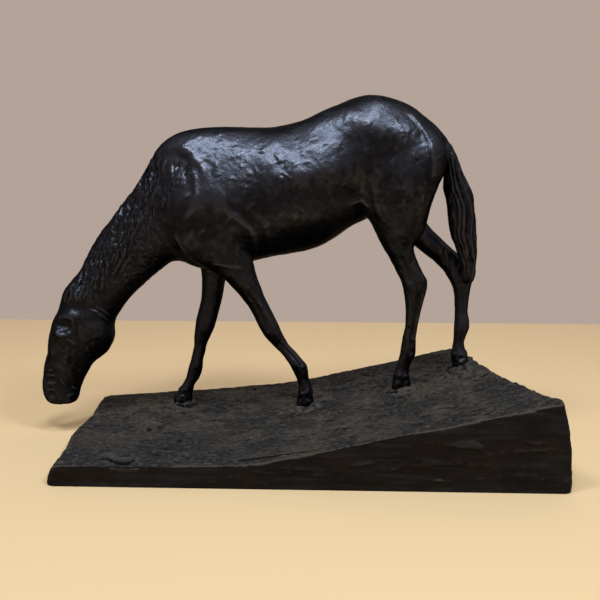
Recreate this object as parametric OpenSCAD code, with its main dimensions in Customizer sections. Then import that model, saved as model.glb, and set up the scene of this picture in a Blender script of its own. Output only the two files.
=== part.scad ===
// A grazing horse in cast bronze on a sloping wedge of ground.
// The horse is cast in sections that meet on flat faces over dowels, and it is held down
// by a threaded stud in each hoof, with a washer and a nut inside the hollow base.
// Millimetres, +Z up. The horse faces -X. The origin is on the table, under the middle.

/* [Base] */
// Length of the base along the foot of its front side
base_l = 270; // [255:1:285]
// Depth of the base from its front side to its back
base_d = 140; // [130:1:150]
// Height of the top at the thin toe end
toe_h = 11.5; // [11:0.5:15]
// Height of the front corner at the heel end
heel_h = 48.5; // [44:0.5:53]
// Height of the back corner at the heel end
heel_back_h = 46.5; // [42:0.5:51]
// How far the heel end runs in from its front corner to its back corner
heel_skew = 42.6; // [30:0.2:46]
// How far the heel end spreads from its top edge to its foot
heel_flare = 6.4; // [4:0.2:8]
// How deep the top is hollowed between its front and back edges at the heel
dish_depth = 6.2; // [4:0.2:7]
// Radius of the upright corners
corner_r = 4; // [3:0.5:6]
// Width of the worn edge between the top and the sides
edge_r = 1.2; // [0.6:0.2:2]
// Thickness of the side walls
rim_wall = 5; // [4:0.5:7]
// Thickness of the top
top_wall = 4; // [3:0.5:4.5]

/* [Horse] */
// Height of the withers above the table
withers_h = 186; // [178:1:194]
// Thickness of the bronze round the trunk's core
core_wall = 6; // [5:0.5:9]
// Width of the barrel behind the shoulders
barrel_w = 61; // [54:1:68]
// Width of the neck where it leaves the shoulders
neck_w = 34; // [30:1:38]
// Width of the head across the brows
head_w = 27; // [24:1:30]
// Length of an ear
ear_l = 15; // [12:0.5:16]
// Distance between the two fore legs where they leave the body
fore_span = 26.5; // [24:0.5:30]
// Distance between the two hind legs where they leave the body
hind_span = 26; // [24:0.5:30]
// Width of a cannon bone from side to side
cannon_w = 6.4; // [5.6:0.2:7.6]
// Width of a hoof from side to side
hoof_w = 10.4; // [9.4:0.2:12]
// Width of the tail at its middle
tail_w = 13; // [10:0.5:16]

/* [Dowels] */
// Diameter of the dowels in the legs and the head
dowel_d = 5; // [4:0.5:6]
// Length of the dowels in the legs and the head
dowel_l = 16; // [12:1:18]
// Diameter of the two dowels in the neck
neck_dowel_d = 6; // [5:0.5:8]
// Length of the two dowels in the neck
neck_dowel_l = 22; // [16:1:26]
// Distance between the two dowels in the neck
neck_dowel_pitch = 28; // [22:1:32]
// Diameter of the dowel in the tail
tail_dowel_d = 4; // [3:0.5:4.5]
// Length of the dowel in the tail
tail_dowel_l = 12; // [8:1:14]
// Clearance between a dowel and its hole, on each side
dowel_gap = 0.1; // [0.05:0.05:0.2]

/* [Studs and nuts] */
// Diameter of the studs
stud_d = 4; // [3:0.5:4]
// Depth to which a stud enters its hoof
stud_hold = 9; // [7:0.5:10]
// Length of stud below its nut
stud_tail = 0.8; // [0.4:0.2:1.4]
// Clearance of a stud in the hoof and in the nut, on each side
stud_gap = 0.05; // [0.05:0.05:0.15]
// Diameter of the holes through the base
stud_hole_d = 4.5; // [4.2:0.1:5]
// Diameter of the bosses under the top
boss_d = 11.6; // [10.4:0.2:12.4]
// Height of a boss below the ceiling
boss_h = 2; // [1.6:0.2:2.4]
// Diameter of the washers
washer_d = 9; // [8:0.5:10]
// Thickness of the washers
washer_t = 0.8; // [0.5:0.1:1]
// Size of the nuts across their flats
nut_af = 7; // [6:0.5:7]
// Height of the nuts
nut_h = 3.2; // [2.4:0.2:3.2]

/* [Hidden] */

bronze = "#2a2523";
earth = "#3b352c";
yellow_metal = "#a8853f";
steel = "#8f9296";

heel_end = 150.5;            // the heel end's foot at the front, behind the hind hooves
toe_x = heel_end - base_l;   // the toe end's foot at the front
toe_skew = 4.5;              // how far the toe end runs out towards the back
toe_wave = 2;                // how far the toe's edge wanders
toe_swell = 4;               // how far the toe end swells out below its edge
foot_tuck = 0.8;             // how far the two ends tuck in again at the very foot
side_levels = [1, 0.8, 0.45, 0.06, 0];  // heights of the rings round the sides
median = 27.5;               // the horse's middle plane, behind the base's own middle
mound_h = 1.2;               // a hoof's mound above the ground around it
mound_d = 15;                // flat top of a mound
mound_spread = 2.4;          // what its foot adds all round
withers_0 = 186;             // the tables below are for this height of the withers
trunk_n = 28;                // corners in a ring of the trunk, the neck and the head
limb_n = 16;                 // corners in a ring of a limb or the tail
core_n = 20;                 // corners in a ring of the core
grid_u = 26;                 // cells in the top, toe to heel
grid_v = 12;                 // cells in the top, front to back

// ---- small helpers ----

function mix(a, b, t) = a + (b - a) * t;
function clamp01(t) = min(1, max(0, t));

// A soft ramp: near 0 below v = 0, then rising to 1 at v = 1.
function ramp(v, soft) = (v + sqrt(v * v + soft * soft)) / (1 + sqrt(1 + soft * soft));

// One ring across the horse. a is its upper or front point and b its lower or back point,
// as [x, z]. It is widest, w each way from the plane y, at the share m of the way from a
// to b. na and nb say how square its two halves are: 2 is an ellipse.
function ring(a, b, y, w, m = 0.5, na = 2, nb = 2) = [a.x, a.y, b.x, b.y, y, w, m, na, nb];
function ring_a(r) = [r[0], r[1]];
function ring_b(r) = [r[2], r[3]];

function ring_points(r, n) = [
    for (i = [0 : n - 1])
        let (c = cos(360 * i / n), s = sin(360 * i / n),
             e = 2 / (c >= 0 ? r[7] : r[8]),
             middle = mix(ring_a(r), ring_b(r), r[6]),
             p = mix(middle, c >= 0 ? ring_a(r) : ring_b(r), pow(abs(c), e)))
        [p.x, r[4] + r[5] * sign(s) * pow(abs(s), e), p.y]];

// Rings added between those of a list, on a smooth curve through them.
function curve(p0, p1, p2, p3, t) =
    0.5 * (2 * p1 + (p2 - p0) * t + (2 * p0 - 5 * p1 + 4 * p2 - p3) * t * t
           + (3 * p1 - p0 - 3 * p2 + p3) * t * t * t);
function faired(rings, steps) = let (last = len(rings) - 1) [
    for (k = [0 : last - 1], s = [0 : steps - 1])
        curve(rings[max(k - 1, 0)], rings[k], rings[k + 1], rings[min(k + 2, last)], s / steps),
    rings[last]];

function ring_middle(r) = mix(ring_a(r), ring_b(r), 0.5);

// A closed skin over a list of rings, with a flat face on the first and on the last.
// The faces turn over where the rings run the other way, as they do along the trunk.
module skin(rings, n) {
    points = [for (r = rings) each ring_points(r, n)];
    last = len(rings) - 1;
    up = ring_a(rings[0]) - ring_b(rings[0]);
    on = ring_middle(rings[1]) - ring_middle(rings[0]);
    turned = up.x * on.y - up.y * on.x < 0;
    sides = [for (k = [0 : last - 1], i = [0 : n - 1])
        let (j = (i + 1) % n, p = k * n + i, q = k * n + j)
        each [[p, p + n, q + n], [p, q + n, q]]];
    ends = [[for (i = [0 : n - 1]) i], [for (i = [n - 1 : -1 : 0]) last * n + i]];
    faces = concat(sides, ends);
    polyhedron(points, [for (f = faces) turned ? [for (i = [len(f) - 1 : -1 : 0]) f[i]] : f],
               convexity = 8);
}

// Puts its children at the middle of a ring, with their z axis square to its face.
module on_joint(r) {
    middle = ring_middle(r);
    along = ring_b(r) - ring_a(r);
    translate([middle.x, r[4], middle.y])
        rotate([0, atan2(-along.y, along.x), 0])
            children();
}

// A dowel that follows the bone: through the middle of the joint r, from a ring on its one
// side towards a ring on its other.
module bone_dowel(r, below, above, d, l) {
    along = ring_middle(above) - ring_middle(below);
    middle = ring_middle(r);
    translate([middle.x, r[4], middle.y]) rotate([0, atan2(along.x, along.y), 0])
        translate([0, 0, -l / 2]) cylinder(d = d, h = l, $fn = 32);
}

module dowel_on(r, d, l, shift = 0) {
    on_joint(r) translate([shift, 0, -l / 2]) cylinder(d = d, h = l, $fn = 32);
}

module dowel_hole_on(r, d, l, shift = 0) {
    dowel_on(r, d + 2 * dowel_gap, l + 2 * dowel_gap, shift);
}

// ---- the ground ----

function heel_x(t) = toe_x + base_l - heel_flare - (heel_skew - heel_flare / 2) * t;
function toe_edge_x(t) = toe_x - toe_skew * t - toe_wave * sin(180 * t) * sin(580 * (t - 0.285));

// Height of the top at the share u along the length and the share t from front to back.
function front_edge_z(u) = mix(toe_h, heel_h, ramp((u - 0.38) / 0.62, 0.1));
function back_edge_z(u) =
    mix(toe_h, heel_back_h, 0.5 * u + 0.5 * ramp((u - 0.54) / 0.46, 0.2));
// The hollow runs out into a low lip along the heel's edge.
function lip(u) = 0.55 * pow(max(0, 1 - (1 - u) / 0.1), 1.5);
function dish(u, t) = dish_depth * u * pow(max(0, sin(180 * t)), 1.5) * (1 - lip(u));
function share_t(y) = clamp01(y / base_d + 0.5);
function share_u(x, t) = clamp01((x - toe_edge_x(t)) / (heel_x(t) - toe_edge_x(t)));
function ground(x, y) =
    let (t = share_t(y), u = share_u(x, t))
    mix(front_edge_z(u), back_edge_z(u), t) - dish(u, t);

// ---- the base: one shell, open below ----

// Shares along the length, closer together at the two ends, where the corners turn.
corner_u = corner_r / base_l;
grid_us = concat([0, 0.08 * corner_u, 0.3 * corner_u, 0.6 * corner_u],
                 [for (i = [0 : grid_u - 8]) mix(corner_u, 1 - corner_u, i / (grid_u - 8))],
                 [1 - 0.6 * corner_u, 1 - 0.3 * corner_u, 1 - 0.08 * corner_u, 1]);

// How far the front and back sides draw in near an end, so that the corner is round.
function corner_in(u) =
    let (near = min(u, 1 - u) * base_l)
    near >= corner_r ? 0 : corner_r - sqrt(max(0, corner_r * corner_r - pow(corner_r - near, 2)));

// A point of the plan, moved in from the outline by `in` on every side.
function plan(u, t, in) =
    let (x0 = toe_edge_x(t) + in, x1 = heel_x(t) - in,
         half = base_d / 2 - in - corner_in(u))
    [mix(x0, x1, u), mix(-half, half, t)];

function grid_vs(i) = [for (j = [0 : grid_v]) j / grid_v];
function sheet_points(in, drop) = [
    for (i = [0 : grid_u], t = grid_vs(i))
        let (p = plan(grid_us[i], t, in))
        [p.x, p.y, ground(p.x, p.y) - drop]];
function edge_cells() = concat(
    [for (i = [0 : grid_u - 1]) [i, 0]], [for (j = [0 : grid_v - 1]) [grid_u, j]],
    [for (i = [grid_u : -1 : 1]) [i, grid_v]], [for (j = [grid_v : -1 : 1]) [0, j]]);
// The sides swell out from the worn edge down to the foot: fully at the heel, a little at the
// toe. level is the height as a share of the edge's height.
function swell(u, level) =
    (1 - pow(level, 3.5)) * (heel_flare * pow(u, 3) - toe_swell * pow(1 - u, 12));
function rim_points(in, drop, level = 1) = [
    for (c = edge_cells())
        let (u = grid_us[c[0]], t = c[1] / grid_v, p = plan(u, t, in),
             tucked = level > 0 ? 0 : foot_tuck * (2 * u - 1))
        [p.x + swell(u, level) - tucked, p.y, (ground(p.x, p.y) - drop) * level]];

module base_shell() {
    sheet_n = (grid_u + 1) * (grid_v + 1);
    loop = edge_cells();
    loop_n = len(loop);
    side_n = len(side_levels);
    points = concat(
        sheet_points(edge_r, 0), sheet_points(rim_wall, top_wall),
        [for (level = side_levels) each rim_points(0, edge_r, level)],
        rim_points(rim_wall, 0, 0));
    function sheet(k, i, j) = k * sheet_n + i * (grid_v + 1) + j;
    function around(k, i) = 2 * sheet_n + k * loop_n + i % loop_n;
    function sheet_edge(k, i) = sheet(k, loop[i % loop_n][0], loop[i % loop_n][1]);
    top = [for (i = [0 : grid_u - 1], j = [0 : grid_v - 1])
        each [[sheet(0, i, j), sheet(0, i, j + 1), sheet(0, i + 1, j + 1)],
              [sheet(0, i, j), sheet(0, i + 1, j + 1), sheet(0, i + 1, j)]]];
    ceiling = [for (i = [0 : grid_u - 1], j = [0 : grid_v - 1])
        each [[sheet(1, i, j), sheet(1, i + 1, j + 1), sheet(1, i, j + 1)],
              [sheet(1, i, j), sheet(1, i + 1, j), sheet(1, i + 1, j + 1)]]];
    // The last ring is the inner foot, so the strip before it is the flat rim.
    walls = [for (k = [0 : side_n - 1], i = [0 : loop_n - 1])
        each [[around(k, i), around(k, i + 1), around(k + 1, i + 1)],
              [around(k, i), around(k + 1, i + 1), around(k + 1, i)]]];
    seams = [for (i = [0 : loop_n - 1])
        each [[sheet_edge(0, i), sheet_edge(0, i + 1), around(0, i + 1)],
              [sheet_edge(0, i), around(0, i + 1), around(0, i)],
              [around(side_n, i), around(side_n, i + 1), sheet_edge(1, i + 1)],
              [around(side_n, i), sheet_edge(1, i + 1), sheet_edge(1, i)]]];
    polyhedron(points, concat(top, ceiling, walls, seams), convexity = 8);
}

// ---- the hooves' places, which the legs, studs and bosses share ----

hoof_at = [[9.5, 18], [-67.8, 40], [66.8, 19], [103.6, 33]];
function seat_z(i) = ground(hoof_at[i].x, hoof_at[i].y) + mound_h;
function seat_slope(i) =
    let (p = hoof_at[i], reach = 6)
    (ground(p.x + reach, p.y) - ground(p.x - reach, p.y)) / (2 * reach);
washer_seat_drop = mound_h + top_wall + boss_h;

module at_hoof(i) {
    translate([hoof_at[i].x, hoof_at[i].y, seat_z(i)]) children();
}

module mound(i) {
    deep = mound_h + top_wall * 0.3;
    at_hoof(i) rotate([0, -atan(seat_slope(i)), 0]) translate([0, 0, -deep])
        cylinder(d1 = mound_d + 2 * mound_spread, d2 = mound_d, h = deep, $fn = 40);
}

module boss(i) {
    top = mound_h + top_wall * 0.7;
    at_hoof(i) translate([0, 0, -washer_seat_drop])
        cylinder(d = boss_d, h = washer_seat_drop - top, $fn = 40);
}

module base_casting() {
    color(earth) difference() {
        union() {
            base_shell();
            for (i = [0 : 3]) {
                mound(i);
                boss(i);
            }
        }
        for (i = [0 : 3])
            at_hoof(i) translate([0, 0, -washer_seat_drop - 1])
                cylinder(d = stud_hole_d, h = washer_seat_drop + 3, $fn = 32);
    }
}

// ---- the trunk ----

lift = withers_h - withers_0;       // what a taller horse adds above the legs
bw = barrel_w / 61;                 // widths in the trunk's table are for a 61 mm barrel

trunk_table = [
    ring([-83, 165], [-69, 106.8], median, neck_w / 2, 0.62, 1.7, 2.1),
    ring([-75, 175.8], [-63, 106.3], median, 20.5 * bw, 0.62, 1.7, 2.2),
    ring([-64, 182.8], [-55, 102.8], median, 23 * bw, 0.60, 1.7, 2.3),
    ring([-49, 185.6], [-42, 101], median, 25 * bw, 0.58, 1.8, 2.2),
    ring([-31, 185.8], [-26, 105.6], median, 28 * bw, 0.57, 1.9, 2.1),
    ring([-12, 185.4], [-9, 109.4], median, 30 * bw, 0.55, 2.1, 2.1),
    ring([6.5, 188.9], [7, 112.4], median, 30.5 * bw, 0.53, 2.2, 2.1),
    ring([22, 196], [23, 118.4], median, 29.5 * bw, 0.50, 2.2, 2.1),
    ring([37, 202.3], [36, 127.5], median, 27.5 * bw, 0.47, 2.1, 2.1),
    ring([50, 203.8], [50, 134], median, 26.5 * bw, 0.42, 2.1, 2.1),
    ring([62, 201.2], [63, 138], median, 25.5 * bw, 0.42, 2.1, 2.1),
    ring([72, 196], [74, 142], median, 23 * bw, 0.43, 2.1, 2.1),
    ring([79.5, 190.5], [83, 150], median, 18 * bw, 0.45, 2, 2),
    ring([83.5, 187.6], [88.5, 161], median, 12 * bw, 0.48, 2, 2),
    ring([86, 185.6], [91, 173.5], median, 5.6, 0.5, 2, 2)];

// A limb's root is given from the joint upwards, as [z, front x, back x, half width,
// distance of its middle from the median].
near_fore_root = [
    [97, -37, -17.8, 7.6, 0], [103, -46, -19.3, 8.6, 0.6], [109, -56, -20.3, 9.6, 1],
    [118, -67.5, -21.5, 10.2, 1.4], [130, -72.5, -26, 10.2, 1.6], [145, -75, -33, 9.6, 1],
    [160, -70, -38, 7.6, -0.8], [173, -60, -43, 4, -5]];
far_fore_root = [
    [95, -54.8, -39.9, 6.8, 0], [100, -55.4, -37, 7.6, 0.4], [106, -59, -31, 9, 1],
    [115, -66, -25, 10, 1.4], [130, -72.5, -26, 10.2, 1.6], [145, -75, -33, 9.6, 1],
    [160, -70, -38, 7.6, -0.8], [173, -60, -43, 4, -5]];
near_hind_root = [
    [117, 54.3, 72.3, 7, 0], [121, 51.8, 75.2, 8, 0.2], [126, 49.4, 79, 9.4, 0.5],
    [133, 46, 80.4, 11.2, 0.8], [140, 41, 81.8, 12.4, 1.2], [150, 35.5, 85.6, 13.2, 1.6],
    [161, 33, 89.6, 13, 1.6], [172, 36, 90.4, 11.6, 0.8], [183, 44, 85, 8, -1.5],
    [191, 54, 75, 3.6, -5]];
far_hind_root = [
    [116, 73.3, 94.2, 6.8, 0], [120.5, 67.2, 89.6, 7.6, 0.2], [125, 60, 85.2, 8.8, 0.5],
    [132, 48, 80.6, 11.2, 0.8], [140, 41, 81.8, 12.4, 1.2], [150, 35.5, 85.6, 13.2, 1.6],
    [161, 33, 89.6, 13, 1.6], [172, 36, 90.4, 11.6, 0.8], [183, 44, 85, 8, -1.5],
    [191, 54, 75, 3.6, -5]];

// side is -1 for the near side and 1 for the far side.
function root_rings(table, side, span) = [
    for (s = table)
        ring([s[1], s[0] + lift], [s[2], s[0] + lift], median + side * (span / 2 + s[4]), s[3])];
function raised(rings) = [
    for (r = rings) [r[0], r[1] + lift, r[2], r[3] + lift, r[4], r[5], r[6], r[7], r[8]]];

trunk_rings = raised(trunk_table);
roots = [root_rings(near_fore_root, -1, fore_span), root_rings(far_fore_root, 1, fore_span),
         root_rings(near_hind_root, -1, hind_span), root_rings(far_hind_root, 1, hind_span)];
neck_joint = trunk_rings[0];

// The dock: the tail's stump, which is cast on the trunk and carries the tail's joint.
dock_rings = raised([
    ring([84.5, 186.6], [84, 174], median, 5), ring([88.6, 182.2], [86.5, 171.5], median, 5.8),
    ring([93, 176.4], [88.6, 168.4], median, 6), ring([97.1, 170.4], [90.4, 165.2], median, 5.9)]);
tail_joint = dock_rings[3];

// The core that the trunk was cast over ends clear of every dowel.
function shrunk(r, by) =
    let (a = ring_a(r), b = ring_b(r), step = (b - a) * by / norm(b - a), p = a + step, q = b - step)
    [p.x, p.y, q.x, q.y, r[4], r[5] - by, r[6], r[7], r[8]];
core_rings = [for (k = [3 : 11]) shrunk(trunk_rings[k], core_wall)];

module body_casting() {
    color(bronze) difference() {
        union() {
            skin(faired(trunk_rings, 2), trunk_n);
            for (r = roots) skin(r, limb_n);
            skin(dock_rings, limb_n);
        }
        skin(core_rings, core_n);
        for (i = [0 : 3]) leg_dowel(i, dowel_gap);
        for (s = [-1, 1])
            dowel_hole_on(neck_joint, neck_dowel_d, neck_dowel_l, s * neck_dowel_pitch / 2);
        tail_peg(dowel_gap);
    }
}

// ---- the neck and the head ----

nw = neck_w / 34;
hw = head_w / 27;

neck_rings = concat([neck_joint], raised([
    ring([-92, 151], [-79.5, 99.8], median, 14.6 * nw, 0.60, 1.7, 2.1),
    ring([-102.5, 137.5], [-88, 92.2], median, 12.8 * nw, 0.58, 1.8, 2.1),
    ring([-112.5, 125], [-96, 84.4], median, 11.6 * nw, 0.55, 1.8, 2.1),
    ring([-120.5, 111.8], [-101.8, 77], median, 11.2 * nw, 0.52, 1.9, 2.1),
    ring([-126, 101.8], [-105.4, 71.5], median, 11.6 * hw, 0.48, 2, 2.1)]));
head_joint = neck_rings[len(neck_rings) - 1];
head_rings = concat([head_joint], raised([
    ring([-131.5, 94.8], [-107.2, 66], median, 12.4 * hw, 0.45, 2, 2.1),
    ring([-136.4, 88], [-106.9, 60.5], median, 13 * hw, 0.42, 2.1, 2.2),
    ring([-140, 77], [-108.5, 55.2], median, 13.4 * hw, 0.38, 2.2, 2.2),
    ring([-144, 69.5], [-111.8, 50.3], median, 13.5 * hw, 0.34, 2.4, 2.1),
    ring([-146.6, 60], [-116.5, 46.4], median, 12.4 * hw, 0.34, 2.4, 2.1),
    ring([-148.3, 50], [-121.2, 41.8], median, 10.6 * hw, 0.36, 2.3, 2.1),
    ring([-150.4, 42.3], [-124.4, 36.2], median, 9 * hw, 0.40, 2.2, 2.1),
    ring([-151.8, 35.5], [-127.3, 31], median, 8 * hw, 0.44, 2.2, 2.2),
    ring([-152.2, 28], [-129.2, 26], median, 8 * hw, 0.48, 2.3, 2.3),
    ring([-151.2, 22], [-130.2, 21.6], median, 7.4 * hw, 0.5, 2.4, 2.4),
    ring([-149, 18.8], [-132.4, 18.8], median, 5.6 * hw, 0.5, 2.4, 2.4),
    ring([-146, 17.8], [-136.5, 17.8], median, 3.8 * hw, 0.5, 2.2, 2.2)]));

// The ear lies back along the poll, as a leaf from its root to its tip.
module ear(side) {
    up = [0.56, 0.83];                     // its direction
    across = [-0.83, 0.56];
    root = [-133.2, 84.6 + lift];
    table = [[-0.15, 2.2, 1.6], [0.15, 3.0, 2.2], [0.5, 2.8, 2], [0.8, 1.7, 1.3], [1, 0.5, 0.5]];
    skin([for (s = table)
        let (p = root + up * ear_l * s[0])
        ring(p + across * s[1], p - across * s[1],
             median + side * (head_w * 0.3 + 1.6 * s[0]), s[2])], 10);
}

module eye(side) {
    translate([-137.6, median + side * (head_w / 2 - 3.2), 64.5 + lift]) sphere(d = 7.4, $fn = 32);
}

module neck_casting() {
    color(bronze) difference() {
        skin(faired(neck_rings, 2), trunk_n);
        for (s = [-1, 1])
            dowel_hole_on(neck_joint, neck_dowel_d, neck_dowel_l, s * neck_dowel_pitch / 2);
        dowel_hole_on(head_joint, dowel_d, dowel_l);
    }
}

module head_casting() {
    color(bronze) difference() {
        union() {
            skin(faired(head_rings, 2), trunk_n);
            for (side = [-1, 1]) {
                ear(side);
                eye(side);
            }
        }
        dowel_hole_on(head_joint, dowel_d, dowel_l);
    }
}

// ---- the legs ----

// Each row is [height above the sole, front x, back x, half width]. Heights are stretched
// to fit between the ground and the joint, and the widths follow the cannon and the hoof.
near_fore_table = [
    [0, 4, 14.6, 5.2], [5.5, 4.9, 14.4, 5], [11, 5.8, 13.4, 4.5], [14, 5.6, 12.7, 3.9],
    [18, 4.1, 11.6, 3.6], [22, 2.1, 11.3, 4], [25.5, 0.4, 10.8, 4.5], [29, -1.8, 7.9, 4.1],
    [33, -4.8, 4.8, 3.3], [38, -9.9, 0, 3.2], [42, -13.4, -2.3, 4], [46, -16.2, -4.3, 5.1],
    [50, -18.2, -5.8, 5.3], [55, -20.3, -8.2, 4.9], [61, -23.5, -11.2, 5.2],
    [68, -28.4, -14.4, 6.2], [77.3, -37, -17.8, 7.6]];
far_fore_table = [
    [0, -73.2, -62.2, 5.3], [3.5, -73.8, -61.8, 5.2], [8, -71, -61.4, 4.7],
    [12, -68, -60.4, 4.2], [16, -65.7, -57.6, 3.8], [20, -64.7, -55.7, 3.9],
    [24, -63.7, -54.9, 4.4], [28, -62.4, -54.8, 4], [33, -61.2, -53.5, 3.3],
    [39, -60.4, -52.2, 3.2], [44, -60.2, -49.7, 4.1], [49, -59.5, -47.2, 5.1],
    [54, -58.7, -45.8, 5.2], [60, -57.2, -44.2, 4.9], [67, -55.5, -42.4, 5.3],
    [74, -54.8, -41.2, 6.1], [81.4, -54.8, -39.9, 6.8]];
near_hind_table = [
    [0, 60.8, 72.8, 5.3], [4.5, 61.4, 72.1, 5], [9, 62.2, 71.4, 4.6], [12.5, 63.3, 71.3, 3.9],
    [17, 64.7, 73, 3.8], [21, 65.6, 75.1, 4.2], [25, 66.1, 75.2, 4.4], [31, 66.9, 75, 3.7],
    [38, 68.5, 75.8, 3.2], [46, 68.5, 77.3, 3.3], [54, 67.8, 79.4, 4.2], [61, 66.5, 81.3, 5],
    [66, 65.1, 81.2, 5], [71, 62.4, 78, 4.8], [77, 59.2, 75, 5.5], [85.4, 54.3, 72.3, 7]];
far_hind_table = [
    [0, 99, 108.3, 5], [3.5, 98.3, 108, 4.9], [8, 97.3, 107.2, 4.4], [11.5, 98, 105.9, 3.9],
    [15, 98.7, 105.4, 3.7], [19, 98.8, 106.6, 4.1], [23.5, 98.9, 108.3, 4.4],
    [28, 99.2, 108.3, 4], [34, 99.3, 107.2, 3.3], [42, 99, 107.9, 3.4], [48, 98, 108.6, 4.2],
    [54.5, 94.8, 109.9, 5], [59, 92, 109.4, 4.9], [65, 86.5, 106.5, 5], [70, 80, 101.2, 5.8],
    [75.6, 73.3, 94.2, 6.8]];
leg_tables = [near_fore_table, far_fore_table, near_hind_table, far_hind_table];

// How much of a width belongs to the hoof and how much to the joint at the top.
function leg_width(table, k) =
    let (h = table[k][0], top = table[len(table) - 1][0], w = table[k][3],
         hoofed = w * hoof_w / 10.4, bony = w * cannon_w / 6.4)
    h <= 9 ? hoofed
    : h < 14 ? mix(hoofed, bony, (h - 9) / 5)
    : mix(bony, w, clamp01((h / top - 0.55) / 0.45));

function leg_rings(i) =
    let (table = leg_tables[i], last = len(table) - 1,
         joint = roots[i][0], joint_z = joint[1],
         stretch = (joint_z - seat_z(i)) / table[last][0])
    [for (k = [0 : last])
        let (s = table[k], share = s[0] / table[last][0],
             z = seat_z(i) + s[0] * stretch,
             tilt = seat_slope(i) * max(0, 1 - s[0] / 14),
             y = mix(hoof_at[i].y, joint[4], share))
        ring([s[1], z + tilt * (s[1] - hoof_at[i].x)], [s[2], z + tilt * (s[2] - hoof_at[i].x)],
             y, leg_width(table, k))];

module leg_dowel(i, gap = 0) {
    rings = leg_rings(i);
    bone_dowel(roots[i][0], rings[len(rings) - 2], roots[i][1], dowel_d + 2 * gap, dowel_l + 2 * gap);
}

module leg(i) {
    color(bronze) difference() {
        skin(leg_rings(i), limb_n);
        leg_dowel(i, dowel_gap);
        at_hoof(i) translate([0, 0, -5])
            cylinder(d = stud_d + 2 * stud_gap, h = stud_hold + 5 + stud_gap, $fn = 32);
    }
}

module near_fore_leg() { leg(0); }
module far_fore_leg() { leg(1); }
module near_hind_leg() { leg(2); }
module far_hind_leg() { leg(3); }

// ---- the tail ----

// Below its root each row is [z, back x, front x, half width].
tail_table = [
    [158.5, 101.8, 89.8, 0.46], [151.5, 105.4, 89.8, 0.5], [144.5, 107.9, 91.2, 0.52],
    [136, 109.2, 92.4, 0.52], [127, 110.2, 93.8, 0.5], [119, 110.6, 96, 0.46],
    [111, 110.7, 99.4, 0.42], [104, 110.3, 101.3, 0.36], [98, 109.7, 101.6, 0.3],
    [94, 107.8, 102.6, 0.16]];
tail_rings = concat(
    [tail_joint],
    raised([ring([99.8, 163.8], [89.9, 161], median, 6)]),
    [for (s = tail_table)
        ring([s[1], s[0] + lift], [s[2], s[0] + lift], median, s[3] * tail_w)]);

module tail_peg(gap = 0) {
    bone_dowel(tail_joint, tail_rings[2], dock_rings[2],
               tail_dowel_d + 2 * gap, tail_dowel_l + 2 * gap);
}

module tail_casting() {
    color(bronze) difference() {
        skin(faired(tail_rings, 2), limb_n);
        tail_peg(dowel_gap);
    }
}

// ---- the dowels, studs, washers and nuts ----

module leg_dowels() {
    color(yellow_metal) for (i = [0 : 3]) leg_dowel(i);
}

module neck_dowels() {
    color(yellow_metal) for (s = [-1, 1])
        dowel_on(neck_joint, neck_dowel_d, neck_dowel_l, s * neck_dowel_pitch / 2);
}

module head_dowel() {
    color(yellow_metal) dowel_on(head_joint, dowel_d, dowel_l);
}

module tail_dowel() {
    color(yellow_metal) tail_peg();
}

stud_below = washer_seat_drop + washer_t + nut_h + stud_tail;

module hoof_studs() {
    color(yellow_metal) for (i = [0 : 3])
        at_hoof(i) translate([0, 0, -stud_below])
            cylinder(d = stud_d, h = stud_below + stud_hold, $fn = 32);
}

module stud_washers() {
    color(steel) for (i = [0 : 3])
        at_hoof(i) translate([0, 0, -washer_seat_drop - washer_t]) difference() {
            cylinder(d = washer_d, h = washer_t, $fn = 40);
            translate([0, 0, -1]) cylinder(d = stud_hole_d, h = washer_t + 2, $fn = 32);
        }
}

module stud_nuts() {
    color(steel) for (i = [0 : 3])
        at_hoof(i) translate([0, 0, -washer_seat_drop - washer_t - nut_h]) difference() {
            cylinder(d = nut_af / cos(30), h = nut_h, $fn = 6);
            translate([0, 0, -1]) cylinder(d = stud_d + 2 * stud_gap, h = nut_h + 2, $fn = 32);
        }
}

base_casting();
body_casting();
neck_casting();
head_casting();
near_fore_leg();
far_fore_leg();
near_hind_leg();
far_hind_leg();
tail_casting();
hoof_studs();
stud_washers();
stud_nuts();
leg_dowels();
neck_dowels();
head_dowel();
tail_dowel();
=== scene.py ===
# %% [markdown]
# # A grazing horse in cast bronze
#
# The real object is a small bronze, cast in sections and bolted to a sloping wedge of ground.
# Its sculptor worked in soft clay or wax, so the skin shows thumb strokes, knife marks and
# small pellets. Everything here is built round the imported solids, which give the main sizes.

# %% Load the solids that everything is built round
import math

import bpy
import numpy as np
from mathutils import Matrix, Vector


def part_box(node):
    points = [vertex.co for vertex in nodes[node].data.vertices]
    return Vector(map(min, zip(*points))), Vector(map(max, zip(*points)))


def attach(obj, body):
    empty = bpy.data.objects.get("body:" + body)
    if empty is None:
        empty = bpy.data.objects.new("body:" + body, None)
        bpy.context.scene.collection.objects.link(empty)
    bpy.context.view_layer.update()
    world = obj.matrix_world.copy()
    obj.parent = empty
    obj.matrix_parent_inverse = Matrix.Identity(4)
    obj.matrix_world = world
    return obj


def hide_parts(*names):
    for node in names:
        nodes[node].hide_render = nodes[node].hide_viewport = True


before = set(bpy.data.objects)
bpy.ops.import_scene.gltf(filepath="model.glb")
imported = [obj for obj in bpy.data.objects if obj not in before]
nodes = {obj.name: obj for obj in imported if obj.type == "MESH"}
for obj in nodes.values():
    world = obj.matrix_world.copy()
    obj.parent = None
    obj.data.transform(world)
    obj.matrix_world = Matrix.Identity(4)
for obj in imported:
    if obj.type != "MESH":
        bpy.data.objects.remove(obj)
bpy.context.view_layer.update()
MM = 0.001

# %% [markdown]
# ## Camera
#
# The viewer stands a little more than half a metre in front of the horse's middle and looks
# slightly down. The camera comes first, because every later choice is judged through it.

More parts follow.
